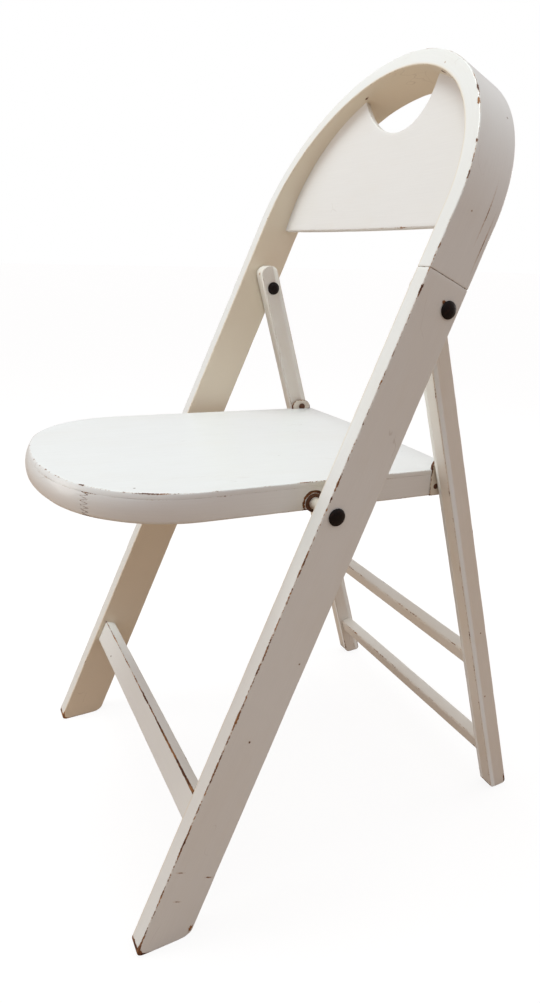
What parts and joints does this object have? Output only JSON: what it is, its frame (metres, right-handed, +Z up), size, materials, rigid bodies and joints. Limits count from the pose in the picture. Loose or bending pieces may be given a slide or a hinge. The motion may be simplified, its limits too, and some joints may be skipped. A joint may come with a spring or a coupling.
{
  "type": "folding chair",
  "caption": "Painted wooden folding chair with a bent hoop frame, a plywood back panel with a hand notch, and a seat that folds flat between the legs.",
  "frame": {"origin": "centre of the chair's box, on the floor it stands on", "axes": "+Z up, the chair faces -Y, +X is the sitter's left"},
  "size_m": [0.407, 0.5241, 0.861],
  "materials": {
    "hoop_paint": "old white gloss paint, chipped along the edges, on bent beech",
    "panel_paint": "old white gloss paint on thin plywood",
    "leg_paint": "old off-white gloss paint on sawn beech, bare at the feet",
    "seat_paint": "old white gloss paint, worn dark along the edge",
    "dark_rivet": "dark blackened steel, slightly glossy",
    "worn_steel": "worn and rusted steel",
    "painted_steel": "white paint over steel, rusty at the edges"
  },
  "bodies": {
    "frame": {"back_panel": "panel_paint", "front_rail": "hoop_paint", "hoop_bend": "hoop_paint", "hoop_leg_left": "hoop_paint", "leg_pivot_burr_left": "dark_rivet", "leg_pivot_burr_right": "dark_rivet", "leg_pivot_rivet_left": "dark_rivet", "leg_pivot_rivet_right": "dark_rivet", "leg_pivot_washer_left": "worn_steel", "leg_pivot_washer_right": "worn_steel", "seat_pivot_burr_left": "worn_steel", "seat_pivot_burr_right": "worn_steel", "seat_pivot_rivet_left": "dark_rivet", "seat_pivot_rivet_right": "dark_rivet", "seat_pivot_spacer_left": "painted_steel", "seat_pivot_spacer_right": "painted_steel"},
    "rear_legs": {"rear_leg_left": "leg_paint", "rear_leg_right": "leg_paint", "rear_rail_lower": "leg_paint", "rear_rail_upper": "leg_paint"},
    "seat": {"ear_screw_1_left": "worn_steel", "ear_screw_1_right": "worn_steel", "ear_screw_2_left": "worn_steel", "ear_screw_2_right": "worn_steel", "seat_back_rail": "seat_paint", "seat_board": "seat_paint", "seat_ear_left": "painted_steel", "seat_ear_right": "painted_steel", "seat_pivot_washer_left": "worn_steel", "seat_pivot_washer_right": "worn_steel", "seat_rim": "seat_paint", "seat_rim_left": "seat_paint", "slide_pin_left": "worn_steel", "slide_pin_right": "worn_steel"}
  },
  "joints": [
    {"name": "seat_hinge", "type": "hinge", "parent": "frame", "child": "seat", "pos_m": [0, -0.02395, 0.41224], "axis": [-1, 0, 0], "range_deg": [0, 112]},
    {"name": "rear_leg_hinge", "type": "hinge", "parent": "frame", "child": "rear_legs", "pos_m": [0, 0.08486, 0.59739], "axis": [-1, 0, 0], "range_deg": [0, 39.5]}
  ],
  "couplings": [
    {"joint": "rear_leg_hinge", "follows": "seat_hinge", "ratio": 0.3526}
  ]
}
